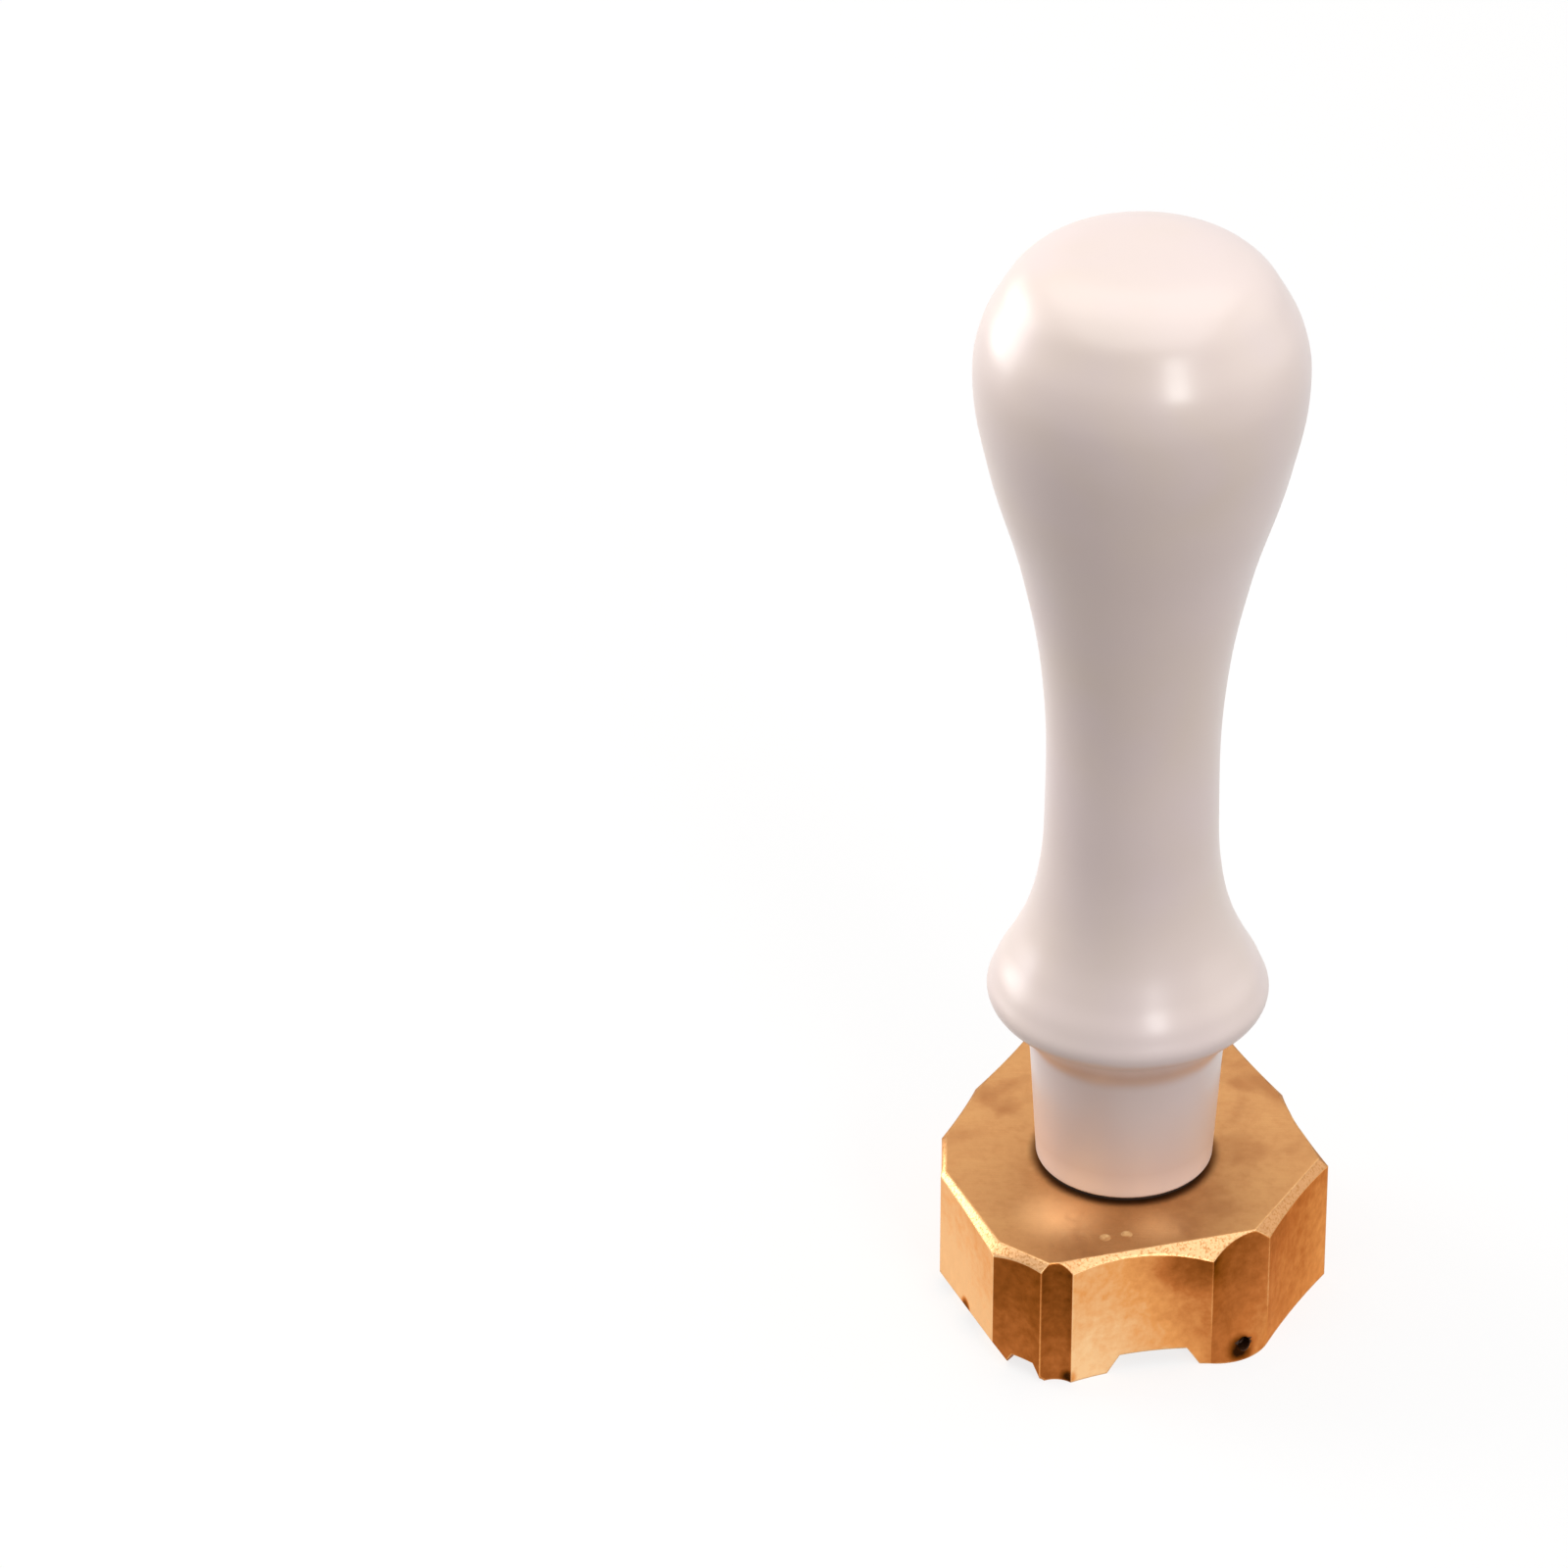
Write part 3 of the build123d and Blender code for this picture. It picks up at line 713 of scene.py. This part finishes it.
def zincPlatedSteel(look):
    material, tree, _, place = newMaterial("zincPlatedSteel")
    cast = addNode(tree, "ShaderNodeTexNoise", {
        "Vector": place, "Scale": 1 / look["castSize"], "Detail": 3.0})
    silvery = addNode(tree, "ShaderNodeMapRange", {"Value": cast, "From Min": 0.3, "From Max": 0.5})
    colour = addNode(tree, "ShaderNodeMix", {
        0: silvery, 6: paint(look["blue"]), 7: paint(look["silver"])}, data_type="RGBA").outputs[2]
    strawy = addNode(tree, "ShaderNodeMapRange", {
        "Value": cast, "From Min": 0.55, "From Max": 0.75, "To Max": look["strawShare"]})
    colour = addNode(tree, "ShaderNodeMix", {
        0: strawy, 6: colour, 7: paint(look["straw"])}, data_type="RGBA").outputs[2]
    grain = addNode(tree, "ShaderNodeTexNoise", {
        "Vector": place, "Scale": 1 / look["grainSize"], "Detail": 2.0})
    bump = addNode(tree, "ShaderNodeBump", {
        "Height": grain, "Strength": look["relief"], "Distance": look["reliefDepth"] * mm})
    glossier, duller = look["roughnessSpread"]
    dullness = addNode(tree, "ShaderNodeMapRange", {
        "Value": grain, "From Min": 0.3, "From Max": 0.7,
        "To Min": look["roughness"] + glossier, "To Max": look["roughness"] + duller})
    shader = addNode(tree, "ShaderNodeBsdfPrincipled", {
        "Base Color": colour, "Metallic": 1.0, "Roughness": dullness, "Normal": bump})
    addNode(tree, "ShaderNodeOutputMaterial", {"Surface": shader})
    return material


makeHandle(handleShape, whiteLacquer(lacquerLook), bareBeech(beechLook))
print("handle turned")
makeDie(dieShape, milledBrass(brassLook))
print("die milled")
makeWasher(washerShape, vulcanisedFibre(fibreLook))
print("washer punched")
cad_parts["stud"].data.materials[0] = zincPlatedSteel(zincLook)
print("stud plated")


# Stage: a plain pale floor, a white surround and soft lamps

stageLook = {
    "floorSize": 6000.0,
    "floorWhite": "#F7F6F5",
    "floorBounce": "#938C89",   # what the floor throws back at the stamp
    "glow": 0.8,                # share of the floor's white that doesn't depend on the lamps
    "fill": 0.05,               # plain light from all round
    "fillColour": "#F2EFEE",
}

# name, place in mm, where it points in mm, width, height in mm, watts, colour
lampRows = (
    ("windowLeft", (-560, 230, 150), (0, 0, 60), 330, 380, 2.3, "#FFFFFF"),
    ("windowBack", (-560, 445, 90), (0, 0, 60), 360, 400, 1.5, "#FFEFE0"),
    ("lampRight", (230, -470, 290), (0, 0, 60), 150, 150, 0.95, "#FFFFFF"),
    ("sideRight", (750, 100, 250), (0, 0, 50), 800, 600, 1.5, "#FFFFFF"),
    ("ceiling", (0, 0, 800), (0, 0, 50), 1300, 1300, 8.9, "#FFFFFF"),
)


def cameraSees(tree):
    # 1 for what the camera sees straight, or in metal and glass
    ray = addNode(tree, "ShaderNodeLightPath")
    seen = addNode(tree, "ShaderNodeMath", {
        0: ray.outputs["Is Camera Ray"], 1: ray.outputs["Is Glossy Ray"]}, operation="MAXIMUM")
    return addNode(
        tree, "ShaderNodeMath", {0: seen, 1: ray.outputs["Is Transmission Ray"]}, operation="MAXIMUM")


def makeFloor(look):
    shape = bmesh.new()
    bmesh.ops.create_grid(shape, x_segments=1, y_segments=1, size=look["floorSize"] / 2 * mm)
    mesh = bpy.data.meshes.new("floor")
    shape.to_mesh(mesh)
    shape.free()
    material, tree, _, _ = newMaterial("paleFloor")
    bounce = addNode(tree, "ShaderNodeBsdfDiffuse", {"Color": paint(look["floorBounce"])})
    matt = addNode(tree, "ShaderNodeBsdfDiffuse", {"Color": paint(look["floorWhite"])})
    glow = addNode(tree, "ShaderNodeEmission", {"Color": (1, 1, 1, 1), "Strength": 1.0})
    white = addNode(tree, "ShaderNodeMixShader", {0: look["glow"], 1: matt, 2: glow})
    surface = addNode(tree, "ShaderNodeMixShader", {0: cameraSees(tree), 1: bounce, 2: white})
    addNode(tree, "ShaderNodeOutputMaterial", {"Surface": surface})
    mesh.materials.append(material)
    floor = bpy.data.objects.new("floor", mesh)
    scene.collection.objects.link(floor)


def makeSurround(look):
    world = bpy.data.worlds.new("softSurround")
    scene.world = world
    world.use_nodes = True
    tree = world.node_tree
    tree.nodes.clear()
    fill = addNode(tree, "ShaderNodeBackground", {
        "Color": paint(look["fillColour"]), "Strength": look["fill"]})
    white = addNode(tree, "ShaderNodeBackground", {"Color": (1, 1, 1, 1), "Strength": 1.0})
    mixed = addNode(tree, "ShaderNodeMixShader", {0: cameraSees(tree), 1: fill, 2: white})
    addNode(tree, "ShaderNodeOutputWorld", {"Surface": mixed})


def makeLamps(rows):
    for name, place, target, width, height, watts, colour in rows:
        data = bpy.data.lights.new(name, "AREA")
        data.shape = "RECTANGLE"
        data.size = width * mm
        data.size_y = height * mm
        data.energy = watts
        data.color = paint(colour)[:3]
        lamp = bpy.data.objects.new(name, data)
        lamp.location = Vector(place) * mm
        lamp.rotation_euler = (Vector(target) - Vector(place)).to_track_quat("-Z", "Y").to_euler()
        scene.collection.objects.link(lamp)


makeFloor(stageLook)
makeSurround(stageLook)
makeLamps(lampRows)
scene.view_settings.view_transform = "Standard"
print("stage lit")
